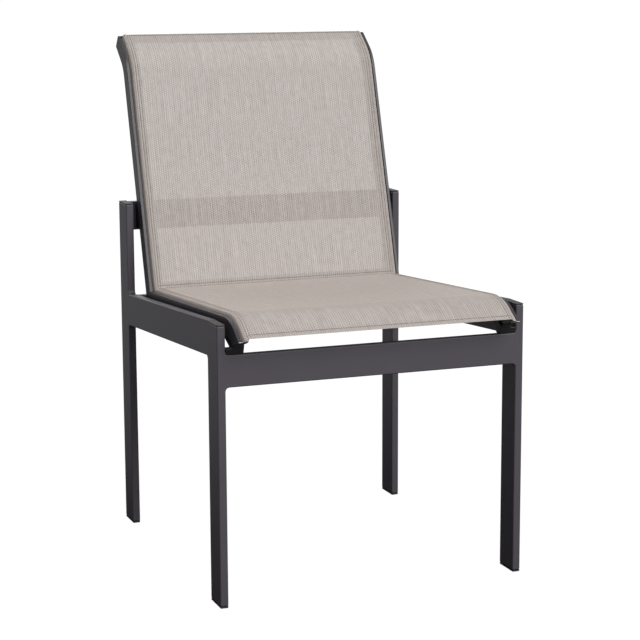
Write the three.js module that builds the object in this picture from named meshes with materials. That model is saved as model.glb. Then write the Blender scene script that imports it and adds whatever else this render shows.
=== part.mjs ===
import * as THREE from 'three';

// Armless sling patio chair: a flat-tube base and a sling frame that floats between its side rails.
// Millimetres, +Z up. The sitter faces -Y, and left and right are as seen from the front.
// The origin is on the floor, under the middle of the chair's box.

// Base frame
const baseWidth = 540; // over the legs' outer faces
const baseDepth = 580; // front of the front legs to back of the rear legs
const legFace = 51; // wide side of the leg tube, front to back
const tubeThickness = 14; // narrow side of every base tube
const tubeWall = 1.8;
const tubeCorner = 2.2; // outer corner radius
const boreCorner = 0.8; // corner radius inside the tube
const frontLegHeight = 467.5;
const rearLegHeight = 602;
const sideRailHeight = 58; // measured upright
const sideRailRiseDegrees = 3.85; // the side rails climb towards the front
const frontRailHeight = 53;
const frontRailDrop = 49.5; // from the front legs' tops to the rail's top
const rearRailHeight = 53;
const rearRailDrop = 177; // from the rear legs' tops to the rail's top
const braceHeight = 52;
const braceClearance = 7.6; // between the brace and the sling rails at its top edge
const fitGap = 0.3; // between pieces that meet

// Plastic fittings of the base tubes
const capPlate = 2; // visible thickness of the caps and of the rail end caps
const capCrown = 0.6; // rounding round the caps' faces
const capPlug = 12; // depth of the plug inside the tube
const glideLip = 3; // visible thickness of the foot glides
const glideCrown = 1;
const glidePlug = 16;

// Sling frame, seen from the side. The lip is the front or top edge of the rails.
const slingGap = 10.5; // between the sling rails and the base's side rails
const railDepth = 26; // square to the surface
const railWidth = 16.5; // across the chair
const tipDropDegrees = 33; // slope of the waterfall at the tips
const tipCutDegrees = 39; // the tips are cut this far off square
const tipStub = 8.9; // straight length left on the tips' underside
const tipReach = 4.9; // from the front legs' front faces to the tips' underside
const waterfallRadius = 87; // of the lip
const seatRiseDegrees = 3.6; // the seat climbs towards the front
const creaseSetback = 110; // from the crease forward of the rear legs' back faces
const backLeanDegrees = 17.3; // off upright
const backRun = 406; // straight length of the back's lip, from the crease
const scrollRadius = 80;
const scrollLeanDegrees = 52; // off upright, at the rolled top
const scrollRun = 42.5; // straight length past the roll
const bracketHeight = 15.2; // lifts the rails' tips off the front rail
const bracketDepth = 40;
const bracketInnerReach = 3.5; // past the rail's inner face
const backBracketHeight = 40;

// Section of the sling rails: lip, fabric groove and raised shoulder, left to right
const railCorner = 1.5;
const railWall = 1.8;
const lipWidth = 5;
const lipRounding = 0.8;
const grooveWidth = 3;
const grooveDepth = 2.5; // down to the round channel
const channelRadius = 3.2;
const shoulderRise = 5; // above the lip
const shoulderReach = 5.3; // how far its outer edge rounds over, across the chair
const shoulderRadius = 3; // of its inner edge

// Fabric
const fabricThickness = 0.9;
const splineRadius = 1.4;
const splineSetback = 12; // of the rods' ends from the rails' ends
const hemSetback = 6; // of the fabric's free edges from the rails' ends
const seamGap = 0.8; // between the two panels at the crease
const hemStartDegrees = -210; // where the hem's loop round the rod starts
const hemEndDegrees = 60; // and where it turns up into the groove

// Facets
const cornerSteps = 3;
const bendSteps = 12;
const channelSteps = 12;
const shoulderSteps = 4;
const hemSteps = 7;
const rodSides = 10;

const powderCoat = { color: 0x504e54, roughness: 0.5, metalness: 0.3 };
const darkPlastic = { color: 0x2a2a2c, roughness: 0.6, metalness: 0 };
const railCoat = { color: 0x4a484b, roughness: 0.5, metalness: 0.3 };
const mesh = { color: 0xbeb4af, roughness: 0.85, metalness: 0 };
const whitePlastic = { color: 0xd8d6d2, roughness: 0.5, metalness: 0 };

const radians = THREE.MathUtils.degToRad;
const chair = new THREE.Group();

// rise is the second radius, for an elliptical arc
function arc(centre, radius, from, to, steps, rise = radius) {
  const points = [];
  for (let i = 0; i <= steps; i += 1) {
    const angle = radians(from + ((to - from) * i) / steps);
    const x = centre.x + radius * Math.cos(angle);
    const y = centre.y + rise * Math.sin(angle);
    points.push(new THREE.Vector2(x, y));
  }
  return points;
}

function roundedBox(width, height, radius, centre = new THREE.Vector2(0, 0)) {
  const right = centre.x + width / 2 - radius;
  const left = centre.x - width / 2 + radius;
  const top = centre.y + height / 2 - radius;
  const bottom = centre.y - height / 2 + radius;
  return [
    ...arc(new THREE.Vector2(right, top), radius, 0, 90, cornerSteps),
    ...arc(new THREE.Vector2(left, top), radius, 90, 180, cornerSteps),
    ...arc(new THREE.Vector2(left, bottom), radius, 180, 270, cornerSteps),
    ...arc(new THREE.Vector2(right, bottom), radius, 270, 360, cornerSteps),
  ];
}

function signedVolume(positions, index) {
  const corner = (i) => new THREE.Vector3().fromArray(positions, index[i] * 3);
  let sum = 0;
  for (let i = 0; i < index.length; i += 3) {
    sum += corner(i).dot(corner(i + 1).cross(corner(i + 2)));
  }
  return sum / 6;
}

// One closed body skinned over layers of rings. Every layer has the same rings: an outer one and,
// for a tube, the bore. place turns a ring's flat points into points in space.
function closedBody(layers) {
  const positions = [];
  const index = [];
  const ringSizes = layers[0].rings.map((ring) => ring.length);
  const layerSize = ringSizes.reduce((sum, size) => sum + size, 0);
  layers.forEach(({ rings, place }) => {
    rings.flat().forEach((point) => positions.push(...place(point).toArray()));
  });
  for (let layer = 0; layer + 1 < layers.length; layer += 1) {
    let start = layer * layerSize;
    ringSizes.forEach((size, ring) => {
      for (let i = 0; i < size; i += 1) {
        const a = start + i;
        const b = start + ((i + 1) % size);
        const quad = [a, b, b + layerSize, a, b + layerSize, a + layerSize];
        index.push(...(ring === 0 ? quad : quad.reverse()));
      }
      start += size;
    });
  }
  [0, layers.length - 1].forEach((layer) => {
    const { rings } = layers[layer];
    const flat = rings.flat();
    const faces = THREE.ShapeUtils.triangulateShape(rings[0], rings.slice(1));
    faces.forEach(([a, b, c]) => {
      const turn = THREE.ShapeUtils.area([flat[a], flat[b], flat[c]]) > 0;
      const face = turn === (layer > 0) ? [a, b, c] : [c, b, a];
      index.push(...face.map((i) => i + layer * layerSize));
    });
  });
  if (signedVolume(positions, index) < 0) {
    index.reverse();
  }
  const geometry = new THREE.BufferGeometry();
  geometry.setAttribute('position', new THREE.Float32BufferAttribute(positions, 3));
  geometry.setIndex(index);
  geometry.computeVertexNormals();
  return geometry;
}

// All rings are wound alike, and closedBody turns the bores' faces inward.
const tubeRings = (...rings) =>
  rings.map((ring) => (THREE.ShapeUtils.isClockWise(ring) ? [...ring].reverse() : ring));

function frameAt(origin, across, up) {
  return (point) => origin.clone().addScaledVector(across, point.x).addScaledVector(up, point.y);
}

function add(name, geometry, look) {
  const piece = new THREE.Mesh(geometry, new THREE.MeshStandardMaterial(look));
  piece.name = name;
  chair.add(piece);
}

const sides = [
  { label: 'left', sign: -1 },
  { label: 'right', sign: 1 },
];
const acrossX = new THREE.Vector3(1, 0, 0);
const upZ = new THREE.Vector3(0, 0, 1);
const alongY = new THREE.Vector3(0, 1, 0);

// Base frame places
const legX = baseWidth / 2 - tubeThickness / 2;
const innerFaceX = baseWidth / 2 - tubeThickness;
const slingWidth = 2 * (innerFaceX - slingGap); // over the sling rails' outer faces
const frontY = -baseDepth / 2;
const rearY = baseDepth / 2;
const frontLegY = frontY + legFace / 2;
const rearLegY = rearY - legFace / 2;
const frontRailTop = frontLegHeight - frontRailDrop;
const rearRailTop = rearLegHeight - rearRailDrop;
const railSlope = Math.tan(radians(sideRailRiseDegrees));
const sideRailTopAt = (y) => frontLegHeight - railSlope * (y - frontY - legFace);

const tubeBore = (width, height) => [width - 2 * tubeWall, height - 2 * tubeWall, boreCorner];
const legRings = tubeRings(
  roundedBox(tubeThickness, legFace, tubeCorner),
  roundedBox(...tubeBore(tubeThickness, legFace)),
);
const legPlug = roundedBox(
  tubeThickness - 2 * (tubeWall + fitGap),
  legFace - 2 * (tubeWall + fitGap),
  boreCorner,
);
const legPlate = (inset) => roundedBox(tubeThickness - 2 * inset, legFace - 2 * inset, tubeCorner - inset);

function addLeg(label, x, y, height) {
  const layer = (rings, z) => ({ rings, place: frameAt(new THREE.Vector3(x, y, z), acrossX, alongY) });
  const leg = [layer(legRings, glideLip + fitGap), layer(legRings, height - capPlate - fitGap)];
  const cap = [
    layer([legPlug], height - capPlate - capPlug),
    layer([legPlug], height - capPlate),
    layer([legPlate(0)], height - capPlate),
    layer([legPlate(0)], height - capCrown),
    layer([legPlate(capCrown)], height),
  ];
  const glide = [
    layer([legPlate(glideCrown)], 0),
    layer([legPlate(0)], glideCrown),
    layer([legPlate(0)], glideLip),
    layer([legPlug], glideLip),
    layer([legPlug], glideLip + glidePlug),
  ];
  add(`${label}_leg`, closedBody(leg), powderCoat);
  add(`${label}_leg_cap`, closedBody(cap), darkPlastic);
  add(`${label}_foot_glide`, closedBody(glide), darkPlastic);
}

sides.forEach(({ label, sign }) => {
  addLeg(`front_${label}`, sign * legX, frontLegY, frontLegHeight);
  addLeg(`rear_${label}`, sign * legX, rearLegY, rearLegHeight);
});

// Side rails: upright ends against the legs, top and bottom on the slope
const sideRailRings = tubeRings(
  roundedBox(tubeThickness, sideRailHeight, tubeCorner),
  roundedBox(...tubeBore(tubeThickness, sideRailHeight)),
);
sides.forEach(({ label, sign }) => {
  const ends = [frontY + legFace + fitGap, rearY - legFace - fitGap];
  const layers = ends.map((y) => {
    const origin = new THREE.Vector3(sign * legX, y, sideRailTopAt(y) - sideRailHeight / 2);
    return { rings: sideRailRings, place: frameAt(origin, acrossX, upZ) };
  });
  add(`${label}_side_rail`, closedBody(layers), powderCoat);
});

// Rails from leg to leg
function addCrossRail(name, height, frontFaceY, topZ) {
  const rings = tubeRings(
    roundedBox(tubeThickness, height, tubeCorner),
    roundedBox(...tubeBore(tubeThickness, height)),
  );
  const layers = sides.map(({ sign }) => {
    const x = sign * (innerFaceX - fitGap);
    const origin = new THREE.Vector3(x, frontFaceY + tubeThickness / 2, topZ - height / 2);
    return { rings, place: frameAt(origin, alongY, upZ) };
  });
  add(name, closedBody(layers), powderCoat);
}

addCrossRail('front_rail', frontRailHeight, frontY, frontRailTop);
addCrossRail('rear_rail', rearRailHeight, rearY - tubeThickness, rearRailTop);

// The rails' lip, in the side view: x is the chair's depth and y its height. It runs from the tips
// over the waterfall to the crease, then up the back and over the roll.
const heading = (degrees) => new THREE.Vector2(Math.cos(radians(degrees)), Math.sin(radians(degrees)));
const outward = (along) => new THREE.Vector2(-along.y, along.x);
const tipHeading = heading(tipDropDegrees);
const seatHeading = heading(-seatRiseDegrees);
const backHeading = heading(90 - backLeanDegrees);
const scrollHeading = heading(90 - scrollLeanDegrees);

// cut is the line of the end in the side view, scaled so that one step along it is one step outward
const tipCut = outward(tipHeading).addScaledVector(tipHeading, -Math.tan(radians(tipCutDegrees)));
const tipCorner = new THREE.Vector2(frontY - tipReach, frontRailTop + bracketHeight);
const tip = tipCorner.clone().addScaledVector(tipCut, railDepth);
const tipRun = tipStub + railDepth * Math.tan(radians(tipCutDegrees));
const waterfallStart = tip.clone().addScaledVector(tipHeading, tipRun);
const waterfallCentre = waterfallStart.clone().addScaledVector(outward(tipHeading), -waterfallRadius);
const waterfall = arc(
  waterfallCentre,
  waterfallRadius,
  90 + tipDropDegrees,
  90 - seatRiseDegrees,
  bendSteps,
);
const seatStart = waterfall[waterfall.length - 1];
const creaseY = rearY - creaseSetback;
const crease = seatStart.clone().addScaledVector(seatHeading, (creaseY - seatStart.x) / seatHeading.x);

const scrollStart = crease.clone().addScaledVector(backHeading, backRun);
const scrollCentre = scrollStart.clone().addScaledVector(outward(backHeading), -scrollRadius);
const scroll = arc(
  scrollCentre,
  scrollRadius,
  180 - backLeanDegrees,
  180 - scrollLeanDegrees,
  bendSteps,
);
const top = scroll[scroll.length - 1].clone().addScaledVector(scrollHeading, scrollRun);

// The mitre's line at the crease, scaled in the same way
function mitre(before, after) {
  const middle = outward(before).add(outward(after)).normalize();
  return middle.divideScalar(middle.dot(outward(before)));
}

const creaseCut = mitre(seatHeading, backHeading);

// Stations along a bent run: each has its place and the line of its cut
function stationsOf(points, startCut, endCut) {
  return points.map((point, i) => {
    if (i === 0) {
      return { point, cut: startCut };
    }
    if (i === points.length - 1) {
      return { point, cut: endCut };
    }
    const before = point.clone().sub(points[i - 1]).normalize();
    const after = points[i + 1].clone().sub(point).normalize();
    return { point, cut: mitre(before, after) };
  });
}

// startTrim and endTrim shorten the run along itself
function seatStations(startTrim, endTrim, startCut = tipCut) {
  const start = tip.clone().addScaledVector(tipHeading, startTrim);
  const end = crease.clone().addScaledVector(seatHeading, -endTrim);
  return stationsOf([start, ...waterfall, end], startCut, creaseCut);
}

function backStations(startTrim, endTrim) {
  const start = crease.clone().addScaledVector(backHeading, startTrim);
  const end = top.clone().addScaledVector(scrollHeading, -endTrim);
  return stationsOf([start, ...scroll, end], creaseCut, outward(scrollHeading));
}

// Section points have x from the rail's outer face inward and y outward from the lip
function railFrame(station, sign) {
  const origin = new THREE.Vector3((sign * slingWidth) / 2, station.point.x, station.point.y);
  const across = acrossX.clone().multiplyScalar(-sign);
  const up = new THREE.Vector3(0, station.cut.x, station.cut.y);
  return frameAt(origin, across, up);
}

const alongRail = (rings, stations, sign) =>
  closedBody(stations.map((station) => ({ rings, place: railFrame(station, sign) })));

// Rail section
const grooveInner = lipWidth + grooveWidth;
const grooveMiddle = lipWidth + grooveWidth / 2;
const neckHalfAngle = THREE.MathUtils.radToDeg(Math.asin(grooveWidth / 2 / channelRadius));
const channelDrop = grooveDepth + Math.sqrt(channelRadius ** 2 - (grooveWidth / 2) ** 2);
const channelCentre = new THREE.Vector2(grooveMiddle, -channelDrop);
const shoulderCentre = new THREE.Vector2(grooveInner + shoulderReach, 0);
const innerShoulder = new THREE.Vector2(railWidth - shoulderRadius, shoulderRise - shoulderRadius);
const railOutline = [
  ...arc(new THREE.Vector2(railCorner, railCorner - railDepth), railCorner, 270, 180, cornerSteps),
  ...arc(new THREE.Vector2(lipRounding, -lipRounding), lipRounding, 180, 90, cornerSteps),
  new THREE.Vector2(lipWidth, 0),
  ...arc(channelCentre, channelRadius, 90 + neckHalfAngle, 450 - neckHalfAngle, channelSteps),
  ...arc(shoulderCentre, shoulderReach, 180, 90, shoulderSteps, shoulderRise),
  ...arc(innerShoulder, shoulderRadius, 90, 0, shoulderSteps),
  ...arc(new THREE.Vector2(railWidth - railCorner, railCorner - railDepth), railCorner, 0, -90, cornerSteps),
];
const cavityTop = -(channelDrop + channelRadius + railWall);
const cavityHeight = cavityTop + railDepth - railWall;
const cavityCentre = new THREE.Vector2(railWidth / 2, cavityTop - cavityHeight / 2);
const cavity = roundedBox(railWidth - 2 * railWall, cavityHeight, boreCorner, cavityCentre);
const railRings = tubeRings(railOutline, cavity);

const endTrim = capPlate + fitGap;
const mitreTrim = fitGap / 2 / Math.cos(creaseCut.angleTo(outward(seatHeading)));
sides.forEach(({ label, sign }) => {
  const seat = alongRail(railRings, seatStations(endTrim, mitreTrim), sign);
  const back = alongRail(railRings, backStations(mitreTrim, endTrim), sign);
  add(`${label}_seat_rail`, seat, railCoat);
  add(`${label}_back_rail`, back, railCoat);
});

// Rail end caps: a plate over the end and a plug in the cavity
const capMiddle = new THREE.Vector2(railWidth / 2, -railDepth / 2);
const capOutline = (inset) =>
  roundedBox(railWidth - 2 * inset, railDepth - 2 * inset, railCorner - inset, capMiddle);
const capPlugOutline = roundedBox(
  railWidth - 2 * (railWall + fitGap),
  cavityHeight - 2 * fitGap,
  boreCorner,
  cavityCentre,
);

function addEndCap(name, end, along, cut, sign) {
  const layer = (outline, depth) => {
    const point = end.clone().addScaledVector(along, depth);
    return { rings: [outline], place: railFrame({ point, cut }, sign) };
  };
  const layers = [
    layer(capOutline(capCrown), 0),
    layer(capOutline(0), capCrown),
    layer(capOutline(0), capPlate),
    layer(capPlugOutline, capPlate),
    layer(capPlugOutline, capPlate + capPlug),
  ];
  add(name, closedBody(layers), darkPlastic);
}

sides.forEach(({ label, sign }) => {
  addEndCap(`${label}_seat_rail_cap`, tip, tipHeading, tipCut, sign);
  addEndCap(`${label}_back_rail_cap`, top, scrollHeading.clone().negate(), outward(scrollHeading), sign);
});

// Fabric: a strip that loops round the rod in the channel, leaves by the groove and turns over the
// shoulder, then crosses to the other rail
const half = fabricThickness / 2;
const loopRadius = splineRadius + fitGap + half;
function stripSide(offset) {
  const lift = fitGap + half - offset;
  return [
    ...arc(channelCentre, loopRadius + offset, hemStartDegrees, hemEndDegrees, hemSteps),
    new THREE.Vector2(grooveMiddle + offset, -grooveDepth),
    ...arc(shoulderCentre, shoulderReach + lift, 180, 90, shoulderSteps, shoulderRise + lift),
  ];
}
const mirrored = (points) =>
  points.map((point) => new THREE.Vector2(slingWidth - point.x, point.y)).reverse();
const fabricUpper = stripSide(-half);
const fabricLower = stripSide(half);
const fabricRings = tubeRings([
  ...fabricUpper,
  ...mirrored(fabricUpper),
  ...mirrored(fabricLower).reverse(),
  ...[...fabricLower].reverse(),
]);
const squareTip = outward(tipHeading);
const backSling = alongRail(fabricRings, backStations(seamGap / 2, hemSetback), -1);
const seatSling = alongRail(fabricRings, seatStations(hemSetback, seamGap / 2), -1);
add('back_sling', backSling, mesh);
add('seat_sling', seatSling, mesh);

// Spline rods
const rod = [arc(channelCentre, splineRadius, 0, 360, rodSides).slice(1)];
sides.forEach(({ label, sign }) => {
  const seat = alongRail(rod, seatStations(splineSetback, splineSetback, squareTip), sign);
  const back = alongRail(rod, backStations(splineSetback, splineSetback), sign);
  add(`${label}_seat_spline`, seat, whitePlastic);
  add(`${label}_back_spline`, back, whitePlastic);
});

// Back brace and the brackets that join it to the leaning rails
const rearFaceAt = (z) => {
  const along = (z - crease.y) / backHeading.y;
  const lipY = crease.x + along * backHeading.x;
  return lipY + railDepth / Math.cos(radians(backLeanDegrees));
};
const braceFrontY = rearFaceAt(rearLegHeight) + braceClearance;
addCrossRail('back_brace', braceHeight, braceFrontY, rearLegHeight);

// A block across the chair with the given side view
function addBlock(name, outline, innerX, outerX, sign) {
  const rings = tubeRings(outline);
  const layers = [innerX, outerX].map((x) => {
    const origin = new THREE.Vector3(sign * x, 0, 0);
    return { rings, place: frameAt(origin, alongY, upZ) };
  });
  add(name, closedBody(layers), powderCoat);
}

const railInnerX = slingWidth / 2 - railWidth;
const braceMiddleZ = rearLegHeight - braceHeight / 2;
const wedgeZ = [braceMiddleZ - backBracketHeight / 2, braceMiddleZ + backBracketHeight / 2];
const wedge = [
  new THREE.Vector2(braceFrontY - fitGap, wedgeZ[0]),
  new THREE.Vector2(braceFrontY - fitGap, wedgeZ[1]),
  new THREE.Vector2(rearFaceAt(wedgeZ[1]) + fitGap, wedgeZ[1]),
  new THREE.Vector2(rearFaceAt(wedgeZ[0]) + fitGap, wedgeZ[0]),
];

// The front brackets stand on the front rail and follow the rails' underside
const bracketBack = frontY + bracketDepth;
const underside = seatStations(0, 0)
  .map(({ point, cut }) => point.clone().addScaledVector(cut, -(railDepth + fitGap)))
  .filter((point) => point.x < bracketBack);
const bracketBottom = frontRailTop + fitGap;
const bracket = [
  new THREE.Vector2(frontY, bracketBottom),
  ...underside,
  new THREE.Vector2(bracketBack, underside[underside.length - 1].y),
  new THREE.Vector2(bracketBack, bracketBottom),
];
sides.forEach(({ label, sign }) => {
  addBlock(`${label}_back_bracket`, wedge, railInnerX, slingWidth / 2, sign);
  addBlock(`${label}_front_bracket`, bracket, railInnerX - bracketInnerReach, innerFaceX - fitGap, sign);
});

// The chair's box is centred over the origin, front to back
const box = new THREE.Box3().setFromObject(chair);
chair.position.y = -(box.min.y + box.max.y) / 2;

export default chair;
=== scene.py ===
"""Studio scene of an armless sling patio chair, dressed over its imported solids."""

import logging
import math
from abc import ABC, abstractmethod
from collections.abc import Callable, Iterable
from dataclasses import dataclass, field
from enum import Enum
from typing import Any

import bmesh
import bpy
from mathutils import Matrix, Vector


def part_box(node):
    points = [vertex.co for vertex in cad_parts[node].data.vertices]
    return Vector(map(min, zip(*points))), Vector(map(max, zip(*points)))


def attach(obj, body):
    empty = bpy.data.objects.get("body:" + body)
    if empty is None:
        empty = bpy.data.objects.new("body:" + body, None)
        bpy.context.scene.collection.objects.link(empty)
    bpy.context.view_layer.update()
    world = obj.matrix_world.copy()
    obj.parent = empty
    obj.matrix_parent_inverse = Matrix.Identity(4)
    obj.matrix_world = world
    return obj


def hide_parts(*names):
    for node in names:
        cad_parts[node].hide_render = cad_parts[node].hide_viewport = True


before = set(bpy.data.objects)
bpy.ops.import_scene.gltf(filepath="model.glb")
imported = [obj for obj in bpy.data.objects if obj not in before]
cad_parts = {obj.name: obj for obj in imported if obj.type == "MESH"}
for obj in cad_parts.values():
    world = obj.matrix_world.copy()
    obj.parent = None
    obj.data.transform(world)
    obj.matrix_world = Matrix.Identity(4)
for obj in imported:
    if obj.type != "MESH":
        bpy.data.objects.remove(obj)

log = logging.getLogger("sling_chair")

MM = 0.001
BODY = "root"
SAME_PLACE = 0.05 * MM  # corners that are closer than this are one corner
SAME_FACE = math.radians(0.5)  # faces that meet flatter than this are one face
SHARP_EDGE = math.radians(30)  # faces that meet flatter than this are shaded as one surface
ROUNDED_EDGE = math.radians(50)  # faces that meet sharper than this get a rounded edge


class Side(Enum):
    """A side of the chair, as seen from the front, and the sign of its X."""

    LEFT = -1
    RIGHT = 1

    @property
    def label(self) -> str:
        """The side's word in the names of pieces."""
        return self.name.lower()


class Panel(Enum):
    """One of the two stretched panels."""

    SEAT = "seat"
    BACK = "back"


def linear(hex_colour: str) -> tuple[float, float, float, float]:
    """Turns an sRGB hex colour into the linear colour that shaders take.

    Args:
        hex_colour: Six hex digits with a leading hash sign.

    Returns:
        Linear red, green, blue and an alpha of 1.
    """
    channels = [int(hex_colour[i : i + 2], 16) / 255 for i in (1, 3, 5)]
    r, g, b = (c / 12.92 if c <= 0.04045 else ((c + 0.055) / 1.055) ** 2.4 for c in channels)
    return (r, g, b, 1.0)


def add_node(
    tree: bpy.types.NodeTree,
    kind: str,
    inputs: dict[str | int, Any] | None = None,
    **settings: Any,
) -> bpy.types.Node:
    """Adds a shader node with its settings and its inputs.

    Args:
        tree: The material's or the world's node tree.
        kind: The node's type name, without the ShaderNode that it starts with.
        inputs: Values, or sockets to link from, by input name or number.
        **settings: Attributes of the node, by name.

    Returns:
        The new node.
    """
    node = tree.nodes.new(f"ShaderNode{kind}")
    for name, value in settings.items():
        setattr(node, name, value)
    for socket, value in (inputs or {}).items():
        if isinstance(value, bpy.types.NodeSocket):
            tree.links.new(value, node.inputs[socket])
        else:
            node.inputs[socket].default_value = value
    return node


@dataclass(frozen=True)
class Finish(ABC):
    """A material, and how its surface was made."""

    name: str

    def build(self) -> bpy.types.Material:
        """Builds the material.

        Returns:
            The material.
        """
        material = bpy.data.materials.new(self.name)
        material.use_nodes = True
        tree = material.node_tree
        tree.nodes.clear()
        add_node(tree, "OutputMaterial", {"Surface": self.shade(tree)})
        return material

    @abstractmethod
    def shade(self, tree: bpy.types.NodeTree) -> bpy.types.NodeSocket:
        """Adds the nodes that shade the surface.

        Args:
            tree: The material's node tree.

        Returns:
            The shader's socket.
        """


@dataclass(frozen=True)
class PowderCoat(Finish):
    """Polyester powder coat, sprayed and baked on aluminium.

    The eye gets a satin skin with a fine orange peel and a barely mottled colour.
    """

    name: str = "powder_coated_aluminium"
    colour: str = "#4a464c"
    mottled: str = "#4e4a51"
    roughness: float = 0.47
    uneven: tuple[float, float] = (-0.05, 0.07)  # the least and most that peel adds to it
    mottle: float = 60 * MM
    peel: float = 1.6 * MM  # orange peel is about 1 mm; drawn coarser so that it shows
    peel_depth: float = 0.02 * MM

    def shade(self, tree: bpy.types.NodeTree) -> bpy.types.NodeSocket:
        """Adds the nodes that shade the surface.

        Args:
            tree: The material's node tree.

        Returns:
            The shader's socket.
        """
        place = add_node(tree, "TexCoord").outputs["Object"]
        patches = {"Vector": place, "Scale": 1 / self.mottle, "Detail": 3.0}
        mottle = add_node(tree, "TexNoise", patches).outputs["Fac"]
        bumps = {"Vector": place, "Scale": 1 / self.peel, "Detail": 1.5}
        peel = add_node(tree, "TexNoise", bumps).outputs["Fac"]
        colours = {0: mottle, 6: linear(self.colour), 7: linear(self.mottled)}
        colour = add_node(tree, "Mix", colours, data_type="RGBA")
        low, high = (self.roughness + change for change in self.uneven)
        gloss = add_node(tree, "MapRange", {"Value": peel, "To Min": low, "To Max": high})
        relief = {"Strength": 0.35, "Distance": self.peel_depth, "Height": peel}
        surface = {
            "Base Color": colour.outputs[2],
            "Roughness": gloss.outputs["Result"],
            "IOR": 1.5,
            "Specular IOR Level": 0.42,
            "Normal": add_node(tree, "Bump", relief).outputs["Normal"],
        }
        return add_node(tree, "BsdfPrincipled", surface).outputs["BSDF"]


@dataclass(frozen=True)
class GrainedPlastic(Finish):
    """Plastic as it comes out of a spark-eroded mould, or out of an extruder.

    The eye gets a dull even surface with a very fine grain.
    """

    colour: str
    roughness: float = 0.58
    uneven: tuple[float, float] = (-0.06, 0.08)  # the least and most that grain adds to it
    grain: float = 0.9 * MM  # the real grain is about 0.1 mm; drawn coarser so that it shows
    grain_depth: float = 0.03 * MM
    # the colour follows the grain's height: darker in its dips as painted shade, lighter on its
    # tops as painted highlight
    tones: tuple[float, float] = (0.9, 1.1)  # shares of the colour, in the grain and on it

    def shade(self, tree: bpy.types.NodeTree) -> bpy.types.NodeSocket:
        """Adds the nodes that shade the surface.

        Args:
            tree: The material's node tree.

        Returns:
            The shader's socket.
        """
        place = add_node(tree, "TexCoord").outputs["Object"]
        specks = {"Vector": place, "Scale": 1 / self.grain, "Detail": 2.0}
        grain = add_node(tree, "TexNoise", specks).outputs["Fac"]
        # this ramp paints shade in the grain's dips and a highlight on its tops
        ramp = add_node(tree, "ValToRGB", {"Fac": grain})
        for stop, tone in zip(ramp.color_ramp.elements, self.tones):
            stop.color = (*(min(1.0, c * tone) for c in linear(self.colour)[:3]), 1.0)
        low, high = (self.roughness + change for change in self.uneven)
        gloss = add_node(tree, "MapRange", {"Value": grain, "To Min": low, "To Max": high})
        relief = {"Strength": 0.3, "Distance": self.grain_depth, "Height": grain}
        surface = {
            "Base Color": ramp.outputs["Color"],
            "Roughness": gloss.outputs["Result"],
            "IOR": 1.5,
            "Normal": add_node(tree, "Bump", relief).outputs["Normal"],
        }
        return add_node(tree, "BsdfPrincipled", surface).outputs["BSDF"]


@dataclass(frozen=True)
class CutPlate(Finish):
    """Aluminium end plate: a painted highlight where it faces up, and its coat darkened as painted
    shade elsewhere.

    The eye gets a thin pale line over a dark face.
    """

    name: str = "sawn_aluminium_end_plate"
    # colours chosen by which way the surface faces: the coat darkened as painted shade, and a pale
    # painted highlight
    coated: str = "#2c2a2c"
    bare: str = "#c4c0bd"
    scratch: float = 1.5 * MM

    def shade(self, tree: bpy.types.NodeTree) -> bpy.types.NodeSocket:
        """Adds the nodes that shade the surface.

        Args:
            tree: The material's node tree.

        Returns:
            The shader's socket.
        """
        coordinates = add_node(tree, "TexCoord").outputs
        facing = add_node(tree, "SeparateXYZ", {0: coordinates["Normal"]})
        # faces that point up get the painted highlight, and the others get the coat with painted
        # shade
        upward = {"Value": facing.outputs["Z"], "From Min": 0.3, "From Max": 0.5}
        highlight_mask = add_node(tree, "MapRange", upward)
        marks = {"Vector": coordinates["Object"], "Scale": 1 / self.scratch, "Detail": 2.0}
        scratches = add_node(tree, "TexNoise", marks)
        worn = {"Value": scratches.outputs["Fac"], "To Min": 0.35, "To Max": 0.6}
        gloss = add_node(tree, "MapRange", worn)
        colours = {0: highlight_mask.outputs["Result"], 6: linear(self.coated), 7: linear(self.bare)}
        colour = add_node(tree, "Mix", colours, data_type="RGBA")
        surface = {
            "Base Color": colour.outputs[2],
            "Roughness": gloss.outputs["Result"],
            "IOR": 1.5,
        }
        return add_node(tree, "BsdfPrincipled", surface).outputs["BSDF"]


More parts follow.
